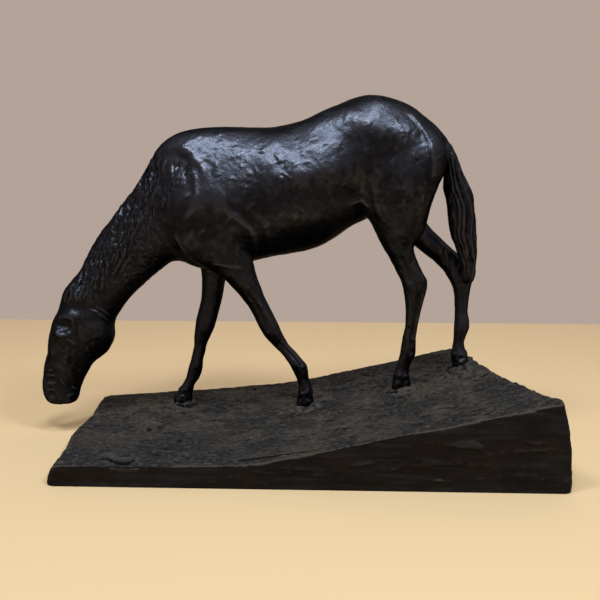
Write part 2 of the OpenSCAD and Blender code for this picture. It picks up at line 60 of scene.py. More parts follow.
# %% Place the camera
EYE = (0.03154, -0.5630, 0.18374)
TILT, TURN = 80.352, 2.47                          # degrees from straight down, and to the left
LENS = 60
bpy.ops.object.camera_add(location=EYE, rotation=(math.radians(TILT), 0, math.radians(TURN)))
camera = bpy.context.object
camera.name = "camera"
camera.data.lens = LENS
camera.data.sensor_width = 36
bpy.context.scene.camera = camera
print("camera stands", round(camera.location.length, 3), "m from the origin")

# %% [markdown]
# ## Floor and light
#
# Dark bronze shows its form only through what it reflects. So the floor is plain and pale,
# and the lamps are soft: four stand high on the viewer's side and draw the sheen along the
# withers, the loin and the croup, and a weak, wide one stands behind. The floor ends a little
# behind the horse, and past its edge the room itself is the plain backdrop.

# %% Lay the floor
scene = bpy.context.scene
scene.view_settings.view_transform = "Standard"


def deselect():
    """Leaves nothing selected, because an operator acts on all that is."""
    bpy.ops.object.select_all(action="DESELECT")


def only(piece):
    """Selects one object and makes it the active one."""
    deselect()
    piece.select_set(True)
    bpy.context.view_layer.objects.active = piece
    return piece


def stage_plane(name, size, place, turn=(0, 0, 0)):
    """A plain plane that belongs to the studio and not to the object."""
    deselect()
    bpy.ops.mesh.primitive_plane_add(size=1, location=place, rotation=turn)
    plane = bpy.context.object
    plane.name = name
    plane.scale = (*size, 1)
    bpy.ops.object.transform_apply()
    return plane


FLOOR_EDGE = 0.39
FLOOR_SIZE = (4, 0.84)
floor = stage_plane("floor", FLOOR_SIZE, (0, FLOOR_EDGE - FLOOR_SIZE[1] / 2, 0))
print("floor is", round(floor.dimensions.x, 2), "m wide")


# %% Hang the lamps
HORSE_MIDDLE = Vector((0, 0.02, 0.1))
LAMP_AWAY = 1.1
WINDOW_LIGHT = (0.78, 0.88, 1)
ROOM_LIGHT = (1, 0.97, 0.93)


def hang(name, turn, rise, size, watts, tint=WINDOW_LIGHT):
    """A soft lamp aimed at the horse, turned from the viewer's side (right is above 0) and
    raised, both in degrees."""
    turn, rise = math.radians(turn), math.radians(rise)
    way = Vector((math.sin(turn) * math.cos(rise), -math.cos(turn) * math.cos(rise), math.sin(rise)))
    place = HORSE_MIDDLE + way * LAMP_AWAY
    direction = HORSE_MIDDLE - place
    bpy.ops.object.light_add(type="AREA", location=place,
                             rotation=direction.to_track_quat("-Z", "Y").to_euler())
    lamp = bpy.context.object
    lamp.name = name
    lamp.data.shape = "RECTANGLE"
    lamp.data.size, lamp.data.size_y = size
    lamp.data.energy = watts
    lamp.data.color = tint


hang("key", -5, 54, (0.22, 0.24), 5.5)
hang("left", -44, 60, (0.20, 0.22), 5)
hang("right", 46, 48, (0.24, 0.24), 5)
hang("high", 18, 73, (0.22, 0.18), 4)
hang("back", 160, 40, (0.9, 0.7), 1, ROOM_LIGHT)


# %% Paint the room
# The backdrop's side of the room lights the scene more than the side behind the viewer. The
# eye, and every mirror and glass, sees the plain backdrop all round.
BACKDROP = (0.456, 0.366, 0.314, 1)
DIM = (0.10, 0.10, 0.13, 1)
world = bpy.data.worlds.new("room")
scene.world = world
world.use_nodes = True
room = world.node_tree
direction = room.nodes.new("ShaderNodeTexCoord")
parts = room.nodes.new("ShaderNodeSeparateXYZ")
backwards = room.nodes.new("ShaderNodeMapRange")
backwards.interpolation_type = "SMOOTHSTEP"
backwards.inputs["From Min"].default_value = -0.1
backwards.inputs["From Max"].default_value = 0.5
path = room.nodes.new("ShaderNodeLightPath")
larger = [room.nodes.new("ShaderNodeMath") for _ in range(3)]
for step in larger:
    step.operation = "MAXIMUM"
tone = room.nodes.new("ShaderNodeMix")
tone.data_type = "RGBA"
tone.inputs["A"].default_value = DIM
tone.inputs["B"].default_value = BACKDROP
for source, target in (
        (direction.outputs["Generated"], parts.inputs[0]),
        (parts.outputs["Y"], backwards.inputs["Value"]),
        (backwards.outputs[0], larger[0].inputs[0]),
        (path.outputs["Is Camera Ray"], larger[0].inputs[1]),
        (larger[0].outputs[0], larger[1].inputs[0]),
        (path.outputs["Is Glossy Ray"], larger[1].inputs[1]),
        (larger[1].outputs[0], larger[2].inputs[0]),
        (path.outputs["Is Transmission Ray"], larger[2].inputs[1]),
        (larger[2].outputs[0], tone.inputs["Factor"]),
        (tone.outputs["Result"], room.nodes["Background"].inputs["Color"])):
    room.links.new(source, target)
print("room painted")


# %% [markdown]
# ## Shader sums
#
# A finish is a sum of small patterns. Writing the sums as plain Python keeps them readable:
# a small class wraps a socket, and its operators add the Math nodes.


# %% A socket that can be added, scaled and raised
class Sum:
    """A value socket in a material, with Python's arithmetic."""

    def __init__(self, paint, socket):
        self.paint, self.socket = paint, socket

    def math(self, operation, *others):
        values = dict(enumerate([self, *others]))
        return self.paint.node("ShaderNodeMath", {"operation": operation}, values)

    def __add__(self, other):
        return self.math("ADD", other)

    def __sub__(self, other):
        return self.math("SUBTRACT", other)

    def __rsub__(self, other):
        return (self * -1) + other

    def __mul__(self, other):
        return self.math("MULTIPLY", other)

    __radd__ = __add__
    __rmul__ = __mul__

    def larger(self, other):
        return self.math("MAXIMUM", other)

    def band(self, low, high):
        """0 below low, 1 above high and a smooth step between."""
        return self.paint.node("ShaderNodeMapRange", {"interpolation_type": "SMOOTHSTEP"},
                               {"Value": self, "From Min": low, "From Max": high})


class Paint:
    """A material and its one way of adding a node."""

    def __init__(self, name):
        self.material = bpy.data.materials.new(name)
        self.material.use_nodes = True
        self.tree = self.material.node_tree
        self.shader = self.tree.nodes["Principled BSDF"]
        self.place = self.node("ShaderNodeTexCoord", {}, {}, "Object", wrap=False)

    def node(self, kind, settings, values, output=0, wrap=True):
        made = self.tree.nodes.new(kind)
        for key, value in settings.items():
            setattr(made, key, value)
        self.feed(made, values)
        return Sum(self, made.outputs[output]) if wrap else made.outputs[output]

    def feed(self, target, values):
        for key, value in values.items():
            if isinstance(value, Sum):
                value = value.socket
            if isinstance(value, bpy.types.NodeSocket):
                self.tree.links.new(value, target.inputs[key])
            else:
                target.inputs[key].default_value = value

    def noise(self, scale, detail=2.0, roughness=0.5, stretch=(1, 1, 1), turn=(0, 0, 0)):
        """Cloudy noise. scale is in patches per metre. stretch draws it out along an axis, after
        the axes were turned."""
        where = self.node("ShaderNodeMapping", {"vector_type": "TEXTURE"}, {
            "Vector": self.place, "Scale": stretch, "Rotation": turn}, wrap=False)
        return self.node("ShaderNodeTexNoise", {}, {
            "Vector": where, "Scale": scale, "Detail": detail, "Roughness": roughness})

    def cells(self, scale):
        """Distance to the nearest of many scattered points."""
        return self.node("ShaderNodeTexVoronoi", {}, {"Vector": self.place, "Scale": scale})

    def along(self, axis):
        """One coordinate of the surface, in millimetres."""
        return self.node("ShaderNodeSeparateXYZ", {}, {"Vector": self.place}, axis) * 1000.0

    def relief(self, low, high):
        """0 in the hollows and 1 on the ridges that the tools left, between two heights in mm."""
        kept = self.node("ShaderNodeAttribute", {"attribute_name": "relief"}, {}, "Fac")
        return kept.band(low, high)

    def facing(self, axis):
        """One part of the surface's own direction, from -1 to 1."""
        normal = self.node("ShaderNodeNewGeometry", {}, {}, "Normal", wrap=False)
        return self.node("ShaderNodeSeparateXYZ", {}, {"Vector": normal}, axis)

    def mix(self, share, first, second):
        """One colour over another, by a share from 0 to 1."""
        return self.node("ShaderNodeMix", {"data_type": "RGBA"}, {
            "Factor": share, "A": first, "B": second}, "Result", wrap=False)

    def bump(self, height, depth_mm):
        """Turns a height from 0 to 1 into relief of that many millimetres."""
        normal = self.node("ShaderNodeBump", {}, {
            "Height": height, "Distance": depth_mm * MM, "Strength": 1.0}, wrap=False)
        self.feed(self.shader, {"Normal": normal})


def rgb(red, green, blue):
    return (red, green, blue, 1.0)


print("shader helpers ready")

# %% [markdown]
# ## One skin for the horse
#
# The castings meet on flat faces, and on the real bronze the seams are chased until they
# can't be seen. So the horse is first made as one skin: copies of the castings are united,
# and a voxel remesh gives them even, small faces that can be worked like clay. Afterwards
# the skin is cut at the same joints again.

# %% Copy and unite the castings
LEGS = ["near_fore_leg", "far_fore_leg", "near_hind_leg", "far_hind_leg"]
CASTINGS = ["body_casting", "neck_casting", "head_casting", "tail_casting", *LEGS]


def edit_all(piece):
    """Enters edit mode with the whole piece selected."""
    only(piece)
    bpy.ops.object.mode_set(mode="EDIT")
    bpy.ops.mesh.select_all(action="SELECT")


def merged_copy(name, label):
    """A new object with the mesh of this CAD node, its loose triangles merged."""
    piece = nodes[name].copy()
    piece.data = nodes[name].data.copy()
    for key in list(piece.keys()):
        del piece[key]
    piece.parent = None
    piece.name = label
    scene.collection.objects.link(piece)
    piece.data.materials.clear()
    edit_all(piece)
    bpy.ops.mesh.remove_doubles(threshold=0.00001)
    bpy.ops.object.mode_set(mode="OBJECT")
    return piece


def apply(piece, kind, **settings):
    """Adds a modifier with these settings and applies it."""
    only(piece)
    modifier = piece.modifiers.new(kind.lower(), kind)
    for key, value in settings.items():
        setattr(modifier, key, value)
    bpy.ops.object.modifier_apply(modifier=modifier.name)
    return piece


def cut_with(piece, tool, operation, keep_tool=False):
    """Unites the piece with the tool, or cuts it away or down to the tool."""
    apply(piece, "BOOLEAN", operation=operation, solver="MANIFOLD", object=tool)
    if not keep_tool:
        bpy.data.objects.remove(tool)
    return piece


skin = merged_copy("body_casting", "skin")
for name in CASTINGS[1:]:
    cut_with(skin, merged_copy(name, "part"), "UNION")
print("united skin:", len(skin.data.vertices), "corners")


# %% Give it small, even faces
def separate(piece):
    """The loose parts of a piece, the smallest first."""
    edit_all(piece)
    bpy.ops.mesh.separate(type="LOOSE")
    bpy.ops.object.mode_set(mode="OBJECT")
    return sorted(bpy.context.selected_objects, key=lambda part: len(part.data.vertices))


def keep_largest(piece):
    """Drops every loose part but the largest, such as the holes left inside."""
    parts = separate(piece)
    for part in parts[:-1]:
        bpy.data.objects.remove(part)
    return only(parts[-1])


SKIN_VOXEL = 0.80 * MM
apply(skin, "REMESH", mode="VOXEL", voxel_size=SKIN_VOXEL)
skin = keep_largest(skin)
print("remeshed skin:", len(skin.data.polygons), "faces")

# %% [markdown]
# ## Clay tools
#
# The rest of the horse's form is worked as in clay. The corners of the mesh are read as an
# array in millimetres, and each tool below moves them a little along their normals: one
# relaxes the skin, one draws a ridge or a groove along a line, and one raises or presses a
# mass. Lines are given in the side view, as (x, z), and worked on both flanks.


# %% Read, write and relax the skin
def corners(piece):
    values = np.empty(len(piece.data.vertices) * 3)
    piece.data.vertices.foreach_get("co", values)
    return values.reshape(-1, 3) / MM


def set_corners(piece, places):
    piece.data.vertices.foreach_set("co", (places * MM).ravel())
    piece.data.update()


def normals(piece):
    values = np.empty(len(piece.data.vertices) * 3, np.float32)
    piece.data.vertex_normals.foreach_get("vector", values)
    return values.reshape(-1, 3).astype(float)


def edge_pairs(piece):
    values = np.empty(len(piece.data.edges) * 2, np.int32)
    piece.data.edges.foreach_get("vertices", values)
    return values.reshape(-1, 2)


def averaged(values, pairs, rounds, weight):
    """Blends every corner's value with its neighbours', rounds times."""
    first, second = pairs[:, 0], pairs[:, 1]
    ways = np.bincount(pairs.ravel(), minlength=len(values))
    values = values.copy()
    for _ in range(rounds):
        for axis in range(values.shape[1]):
            value = values[:, axis]
            total = (np.bincount(first, value[second], len(value))
                     + np.bincount(second, value[first], len(value)))
            values[:, axis] = value + weight * 0.6 * (total / ways - value)
    return values


def relax(piece, rounds, weight=1.0):
    """Evens the skin out. What the first pass took off the broad form, the second gives back."""
    before, pairs = corners(piece), edge_pairs(piece)
    weight = np.broadcast_to(weight, len(before))
    after = averaged(before, pairs, rounds, weight)
    set_corners(piece, after + averaged(before - after, pairs, rounds, weight))


def smooth_step(value, low, high):
    share = np.clip((value - low) / (high - low), 0, 1)
    return share * share * (3 - 2 * share)


# The trunk and the neck are relaxed much, and then the whole skin a little.
places = corners(skin)
trunk = smooth_step(places[:, 2], 104, 126) * (places[:, 0] > -60)
neck = smooth_step(places[:, 2] + 0.55 * (places[:, 0] + 120), 78, 96) * (places[:, 0] <= -60)
dock = smooth_step(places[:, 0], 84, 92)
relax(skin, 110, np.clip(trunk + neck - dock, 0, 1))
relax(skin, 10)
print("skin relaxed; its box in mm:", corners(skin).min(0).round(1), corners(skin).max(0).round(1))


# %% Split the faces of the head, neck, legs and tail once more
def face_centres(piece):
    values = np.empty(len(piece.data.polygons) * 3)
    piece.data.polygons.foreach_get("center", values)
    return values.reshape(-1, 3) / MM


def select_faces(piece, chosen):
    """Enters edit mode with just these faces selected."""
    only(piece)
    bpy.context.tool_settings.mesh_select_mode = (False, False, True)
    bpy.ops.object.mode_set(mode="EDIT")
    bpy.ops.mesh.select_all(action="DESELECT")
    bpy.ops.object.mode_set(mode="OBJECT")
    piece.data.polygons.foreach_set("select", chosen)
    bpy.ops.object.mode_set(mode="EDIT")


def joint(first, second):
    """Centre, direction and radius of the flat face that two castings share, in mm."""
    one, other = (set(map(tuple, corners(nodes[name]).round(2))) for name in (first, second))
    ring = np.array(sorted(one & other))
    centre = (ring.min(0) + ring.max(0)) / 2
    return (centre, np.linalg.svd(ring - ring.mean(0))[2][2],
            np.linalg.norm(ring - centre, axis=1).max())


BEFORE_JOINT = 2.0


def beyond(places, name):
    """Which places lie past the joint between the body and this casting, or just before it."""
    centre, direction, _ = joint("body_casting", name)
    direction = direction * np.sign(direction @ (corners(nodes[name]).mean(0) - centre))
    return (places - centre) @ direction > -BEFORE_JOINT


centres = face_centres(skin)
fine = beyond(centres, "neck_casting")
for leg in LEGS:
    x, _, z = joint("body_casting", leg)[0]
    fine |= (centres[:, 2] < z + BEFORE_JOINT) & (abs(centres[:, 0] - x) < 16 + (z - centres[:, 2]))
fine |= beyond(centres, "tail_casting") & (centres[:, 0] > 88)
select_faces(skin, fine)
bpy.ops.mesh.subdivide(number_cuts=1)
bpy.ops.object.mode_set(mode="OBJECT")
relax(skin, 6)
print("skin now has", len(skin.data.polygons), "faces")

# %% [markdown]
# The clay itself is kept in one small class. It adds up every tool's mark first and moves
# the corners once, so the marks don't disturb each other. Near the line of the back and on
# the inner sides of the legs a mark for the flank fades out with the slope of the surface.


# %% The sculptor's tools
class Clay:
    """Corners of a mesh that tools raise or press, in millimetres along their normals."""

    def __init__(self, piece, middle_y=0.0):
        self.piece = piece
        self.places = corners(piece)
        self.normals = normals(piece)
        self.middle_y = middle_y
        self.lift = np.zeros(len(self.places))
        self.field = np.ones(len(self.places))

    def flank(self, side):
        """1 on the near (-1) or far (1) flank, fading where the surface turns away from it.
        Side 0 is the whole field that is being worked."""
        if side == 0:
            return self.field
        return smooth_step(self.normals[:, 1] * side, 0.02, 0.3) * \
            ((self.places[:, 1] - self.middle_y) * side > -0.5) * self.field

    def near_line(self, line, reach, side, axes=(0, 2)):
        """Corners near a line: their numbers, distance, signed distance and share of its way."""
        flat = self.places[:, axes]
        line = np.array(line, float)
        low, high = line.min(0) - reach, line.max(0) + reach
        inside = np.all((flat > low) & (flat < high), axis=1)
        if side:
            inside &= (self.places[:, 1] - self.middle_y) * side > -0.5
        found = np.nonzero(inside)[0]
        spots = flat[found]
        best = np.full(len(found), 1e9)
        signed = np.zeros(len(found))
        share = np.zeros(len(found))
        steps = np.hypot(*(line[1:] - line[:-1]).T)
        start, total = 0.0, steps.sum()
        for first, second, step in zip(line[:-1], line[1:], steps):
            way = (second - first) / step
            run = np.clip((spots - first) @ way, 0, step)
            off = spots - first - run[:, None] * way
            gap = np.hypot(off[:, 0], off[:, 1])
            closer = gap < best
            best = np.where(closer, gap, best)
            turn = way[0] * off[:, 1] - way[1] * off[:, 0]
            signed = np.where(closer, np.sign(turn) * gap, signed)
            share = np.where(closer, (start + run) / total, share)
            start += step
        return found, best, signed, share

    def stroke(self, line, width, height, sides=(-1, 1), taper=0.25, axes=(0, 2)):
        """A ridge along a line of (x, z), or a groove where height is below zero."""
        for side in sides:
            found, gap, _, share = self.near_line(line, 3 * width, side, axes)
            ends = smooth_step(share, -0.01, taper) * smooth_step(1 - share, -0.01, taper)
            self.lift[found] += height * np.exp(-(gap / width) ** 2) * ends * \
                self.flank(side)[found]

    def shelf(self, line, width, height, fade, sides=(-1, 1), taper=0.2, axes=(0, 2)):
        """A step: the ground left of the line stands higher and slopes away over fade."""
        for side in sides:
            found, _, signed, share = self.near_line(line, 3 * fade, side, axes)
            ends = smooth_step(share, -0.01, taper) * smooth_step(1 - share, -0.01, taper)
            rise = smooth_step(signed, -width, width) * np.exp(-(np.maximum(signed, 0) / fade) ** 2)
            self.lift[found] += height * rise * ends * self.flank(side)[found]

    def mass(self, centre, radii, height, angle=0.0, sides=(-1, 1), axes=(0, 2)):
        """A soft swelling or hollow with two radii, turned by an angle in degrees."""
        turn = math.radians(angle)
        off = self.places[:, axes] - np.array(centre, float)
        along = (off[:, 0] * math.cos(turn) + off[:, 1] * math.sin(turn)) / radii[0]
        across = (off[:, 1] * math.cos(turn) - off[:, 0] * math.sin(turn)) / radii[1]
        shape = height * np.exp(-(along ** 2 + across ** 2))
        for side in sides:
            self.lift += shape * self.flank(side)

    def done(self):
        """Moves the corners, and keeps the fine relief as an attribute for the finish."""
        set_corners(self.piece, self.places + self.normals * self.lift[:, None])
        ground = averaged(self.lift[:, None], edge_pairs(self.piece), 40, np.ones(len(self.lift)))
        relief = self.piece.data.attributes.new("relief", "FLOAT", "POINT")
        relief.data.foreach_set("value", self.lift - ground[:, 0])
        print(self.piece.name, "worked: from", self.lift.min().round(2), "to",
              self.lift.max().round(2), "mm")

# %% [markdown]
# ## Bone and muscle
#
# First the large forms: the point of the hip, the loin's hollow, the shoulder blade, the
# upper arm that lies over the ribs, the thigh and the second thigh. Each is a soft mass or a
# shelf only a millimetre or two high, but the sheen breaks on them.

# %% Model the trunk
MEDIAN = sum(v.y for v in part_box("neck_casting")) / 2 / MM
clay = Clay(skin, MEDIAN)

# hindquarters
clay.mass((45, 188), (13, 7), 1.5, -25)            # point of the hip
clay.mass((54, 199), (15, 5), 1.3, -8)             # croup, squarer than an arch
clay.mass((30, 176), (10, 9), -1.2, 30)            # hollow before the hip
clay.mass((62, 168), (16, 16), 0.9)                # thigh
clay.shelf([(64, 196), (73, 187), (79, 176), (81, 165), (80, 154)], 1.0, 0.9, 9)
clay.mass((70, 151), (7, 13), 0.8, 10)             # back of the thigh
clay.stroke([(44, 160), (46, 150), (46.5, 143), (49, 136), (53, 128)], 1.8, -0.7)
clay.mass((38, 146), (9, 6), -1.0, -30)            # flank fold
clay.stroke([(34, 141), (42, 144), (47, 139)], 1.5, 0.6)

# ribs and loin
clay.mass((10, 158), (26, 8), 1.5, 8)              # the loin slopes as a plane to the ribs
clay.mass((14, 182), (22, 6), -1.3, 18)
clay.stroke([(-8, 172), (-5, 168), (-3, 165)], 0.7, 0.35)
clay.stroke([(-4, 161), (0, 158.5), (4, 156)], 0.7, 0.35)
clay.stroke([(-11, 177), (-6, 168), (-1, 160), (6, 153)], 3.0, -0.4)
clay.mass((-18, 158), (6, 16), -0.8, 12)           # hollow behind the shoulder
clay.mass((10, 140), (24, 14), 0.5)

# shoulder and upper arm
clay.mass((-42, 144), (18, 9), 2.0, 5)             # the shoulder slopes as a plane too
clay.mass((-48, 180), (14, 5), 0.9, 5)             # withers
clay.mass((-40, 163), (12, 6), -0.3)
clay.shelf([(-83, 160), (-78, 168), (-72, 172), (-65, 172), (-58, 168), (-53, 158), (-52, 148),
            (-55, 138), (-60, 131)], 2.6, 0.9, 9)
clay.stroke([(-56, 164), (-53, 157), (-52, 148), (-55, 139), (-60, 132)], 1.6, 0.9)
clay.stroke([(-66, 176), (-57, 172), (-49, 163), (-46, 154)], 2.2, 0.5)
clay.mass((-36, 128), (13, 13), 1.3)               # upper arm
clay.stroke([(-37, 142), (-31.5, 137), (-25.5, 133), (-20.5, 128), (-18.5, 121), (-18.8, 112)],
            1.5, 0.65)
clay.stroke([(-35, 146), (-28, 140), (-21, 135), (-15.6, 129), (-14, 121), (-15, 113)],
            2.2, -0.5)
clay.mass((-56, 122), (8, 10), 0.9)                # breast
clay.stroke([(-66, 126), (-61, 116), (-52, 107.5)], 1.1, 0.4)
clay.stroke([(-44, 108), (-34, 106.5), (-24, 105)], 0.8, 0.5)
clay.mass((-69, 150), (9, 14), -0.9, 10)           # neck before the shoulder
print("trunk modelled")

# %% Model the head
# brow, eye, cheek and jowl
clay.mass((-126, 86.6), (6, 3.8), 1.6, 10)         # forelock
clay.mass((-125.2, 78.6), (5, 4), -1.4, 30)        # hollow behind the brow
clay.mass((-130.5, 74.8), (6, 2.6), 1.0, 12)       # brow ridge
clay.mass((-134.6, 68.6), (5.6, 4.0), -2.3, 8)     # eye's hollow
clay.mass((-135.5, 66.6), (3.0, 1.8), 0.9)         # eyeball
clay.stroke([(-140.4, 65.6), (-137, 63), (-132.5, 63.6), (-129, 66)], 1.1, 0.9)  # lower lid
clay.stroke([(-140, 72.6), (-135, 74.4), (-129, 73), (-127.5, 69)], 0.9, 0.6)    # upper lid
clay.mass((-116.5, 64), (9.5, 10.5), 1.3, 20)      # jowl
clay.stroke([(-119.5, 79.5), (-114.5, 77.2), (-110.5, 73), (-107.8, 69)], 0.6, 0.5)
clay.stroke([(-116, 81.5), (-111, 78), (-106.5, 73)], 0.7, 0.35)
clay.stroke([(-126, 73), (-126.8, 65), (-126, 57)], 1.6, -0.45)
clay.stroke([(-134, 61.5), (-129.5, 59.3), (-127, 57)], 0.6, 0.5)      # cheek bone
clay.stroke([(-131.5, 57), (-134, 50), (-137, 44)], 2.4, 0.4)
clay.mass((-141, 48), (4, 12), -0.7, 85)           # nose before the cheek
clay.mass((-128, 45), (5, 9), -0.5, 70)
# nostril, mouth and chin
clay.mass((-145.2, 34.6), (2.4, 1.5), -0.9, 20)
for low, high, height in (((-147.5, 40), (-142, 41), 0.4), ((-148.5, 37), (-141, 37.6), 0.45),
                          ((-148.5, 32), (-140.5, 32.8), 0.5), ((-148.5, 28), (-142, 28), 0.5),
                          ((-149, 24.6), (-142, 24.8), -0.6), ((-133, 30.5), (-129.5, 27), 0.5),
                          ((-139, 36), (-136.5, 31), 0.35), ((-136, 24), (-131, 25.2), 0.45)):
    clay.stroke([low, high], 0.65, height, taper=0.35)
clay.mass((-145, 26), (1.8, 1.2), -0.9)
clay.mass((-134.5, 22.3), (3, 2.2), 0.5)
print("head modelled")

# %% [markdown]
# ## The touch of the hand
#
# Up close no part of the skin is smooth. Clay was pressed on in pellets and drawn out with
# thumb and tool, so the surface is made of small irregular planes. Smooth noise at three
# sizes gives the planes, then many short strokes and pellets are strewn over it. They are
# seeded, so they come out the same each time.


# %% Press the small planes
LATTICE = np.random.default_rng(11).uniform(-1, 1, (32, 32, 32))
ASKEW = np.array(Matrix.Rotation(0.6, 3, "Y") @ Matrix.Rotation(0.9, 3, "X") @
                 Matrix.Rotation(0.5, 3, "Z"))     # so that its rows don't show on the flank


def noise(places, size, shift=0.0):
    """Smooth random values between -1 and 1, in lumps about size millimetres wide."""
    spots = places @ ASKEW / size + shift
    cell = np.floor(spots).astype(int)
    part = spots - cell
    part = part * part * (3 - 2 * part)
    total = np.zeros(len(places))
    for step in np.ndindex(2, 2, 2):
        weight = np.prod(np.where(step, part, 1 - part), axis=1)
        x, y, z = ((cell + step) % 32).T
        total += weight * LATTICE[x, y, z]
    return total


rough = 0.42 * noise(clay.places, 12.0) + 0.13 * noise(clay.places, 5.0, 5.3)
rough += 0.08 * noise(clay.places, 2.6, 9.1) + 0.06 * noise(clay.places, 1.5, 2.7)
calm = 1 - 0.55 * smooth_step(-clay.places[:, 2], -100, -80)      # legs and head are finer
clay.lift += rough * calm
shaggy = smooth_step(-clay.places[:, 0], 68, 80) * smooth_step(clay.places[:, 2], 84, 96)
clay.lift += shaggy * (0.18 * noise(clay.places, 2.6, 3.3) + 0.16 * noise(clay.places, 1.3, 6.1))
face = smooth_step(-clay.places[:, 0], 104, 112) * (1 - shaggy)
clay.lift += face * (0.22 * noise(clay.places, 4.5, 1.9) + 0.10 * noise(clay.places, 1.8, 4.9))
print("planes pressed")


# %% Strew strokes and pellets
HAND = np.random.default_rng(23)


def strew(count, low, high, lean, spread, length, width, height):
    """Short strokes that lean to one side, in a box of the side view."""
    for _ in range(count):
        start = HAND.uniform(low, high)
        angle = math.radians(HAND.normal(lean, spread))
        run = HAND.uniform(*length)
        bend = HAND.normal(0, 0.12) * run
        way = np.array([math.cos(angle), math.sin(angle)])
        line = [start, start + way * run / 2 + np.array([-way[1], way[0]]) * bend, start + way * run]
        side = int(HAND.choice([-1, 1]))
        clay.stroke(line, HAND.uniform(*width), HAND.uniform(*height) * HAND.choice([1, 1, -1]),
                    sides=(side,), taper=0.4)


strew(130, (-70, 115), (90, 200), 40, 28, (3, 12), (0.7, 1.1), (0.08, 0.28))
strew(110, (-62, 140), (-15, 184), 50, 25, (2, 8), (0.6, 0.9), (0.1, 0.3))
strew(60, (-10, 146), (30, 176), 45, 20, (2, 6), (0.6, 0.8), (0.12, 0.3))
strew(60, (40, 140), (84, 190), 55, 25, (2, 8), (0.6, 0.9), (0.1, 0.3))
strew(30, (-150, 22), (-108, 90), 60, 50, (2, 6), (0.5, 0.7), (0.15, 0.3))
strew(60, (-70, 20), (85, 110), 80, 30, (3, 12), (0.5, 0.8), (0.12, 0.3))
print("strokes strewn")


def pellets(count, low, high, radius, height):
    """Tiny bits of clay that were pressed on and left."""
    for _ in range(count):
        size = HAND.uniform(*radius)
        clay.mass(HAND.uniform(low, high), (size, size * HAND.uniform(0.6, 1)),
                  HAND.uniform(*height), HAND.uniform(0, 180), sides=(int(HAND.choice([-1, 1])),))


pellets(110, (-150, 20), (110, 200), (0.6, 1.1), (0.2, 0.4))
print("pellets pressed on")

# %% [markdown]
# The mane isn't carved as hair. Short upright strokes are combed down from the crest over
# the upper half of the neck, ridge beside groove, and a few round lumps end it at the poll.

# %% Comb the mane
CREST = [(-133, 86), (-125, 104), (-112, 124), (-99, 145), (-88, 163), (-78, 172)]


def along_line(line, share):
    """The point at a share from 0 to 1 of a line's corners."""
    line = np.array(line, float)
    place = share * (len(line) - 1)
    low = min(int(place), len(line) - 2)
    return line[low] + (line[low + 1] - line[low]) * (place - low)


for _ in range(460):
    share = HAND.uniform(0.02, 0.97)
    depth = HAND.uniform(0, 1) * (12 + 17 * share)
    start = along_line(CREST, share) + (1.0 + depth, -0.25 * depth)
    run = HAND.uniform(4, 12)
    lean = math.radians(HAND.normal(-97 - 10 * (1 - share), 9))
    way = np.array([math.cos(lean), math.sin(lean)])
    aside = np.array([-way[1], way[0]]) * HAND.normal(0, 0.5)
    line = [start, start + way * run * 0.5 + aside, start + way * run]
    clay.stroke(line, HAND.uniform(0.45, 0.7), HAND.uniform(0.22, 0.48) * HAND.choice([1, -1]),
                sides=(int(HAND.choice([-1, 1])),), taper=0.25)
for _ in range(26):
    share, depth = HAND.uniform(0.15, 0.75), HAND.uniform(3, 20)
    line = [along_line(CREST, share + step) + (depth, -0.45 * depth) + HAND.normal(0, 0.5, 2)
            for step in np.linspace(0, HAND.uniform(0.1, 0.24), 4)]
    clay.stroke(line, HAND.uniform(0.6, 0.9), HAND.uniform(0.3, 0.6) * HAND.choice([1, -1]),
                sides=(int(HAND.choice([-1, 1])),))
print("mane combed")

# %% [markdown]
# The legs have a tendon behind each cannon bone, with a groove before it, and a rim at the
# top of each hoof. The tail is drawn out in long twisted strands. The lines for both are
# read off the castings: a height and a share of the way from the front edge to the back.


# %% Draw the tendons, hooves and tail
def in_box(places, name, grow=1.0):
    """Which places lie in a casting's box, narrowed to the middle where it is the tail's."""
    low, high = (np.array(corner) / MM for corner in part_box(name))
    if name == "tail_casting":
        low[1], high[1] = MEDIAN - 5, MEDIAN + 5
    return np.all((places > low - grow) & (places < high + grow), axis=1)


outlines = {name: clay.places[in_box(clay.places, name)] for name in (*LEGS, "tail_casting")}


def up_casting(name, low, high, share, count=7, sway=0.0):
    """Points up a casting's side, at a share of the way from its front to its back edge."""
    outline = outlines[name]
    line = []
    for step, z in enumerate(np.linspace(low, high, count)):
        x = outline[abs(outline[:, 2] - z) < 1][:, 0]
        at = np.clip(share + sway * math.sin(step * 1.7), 0.06, 0.94)
        line.append((x.min() + (x.max() - x.min()) * at, z))
    return line


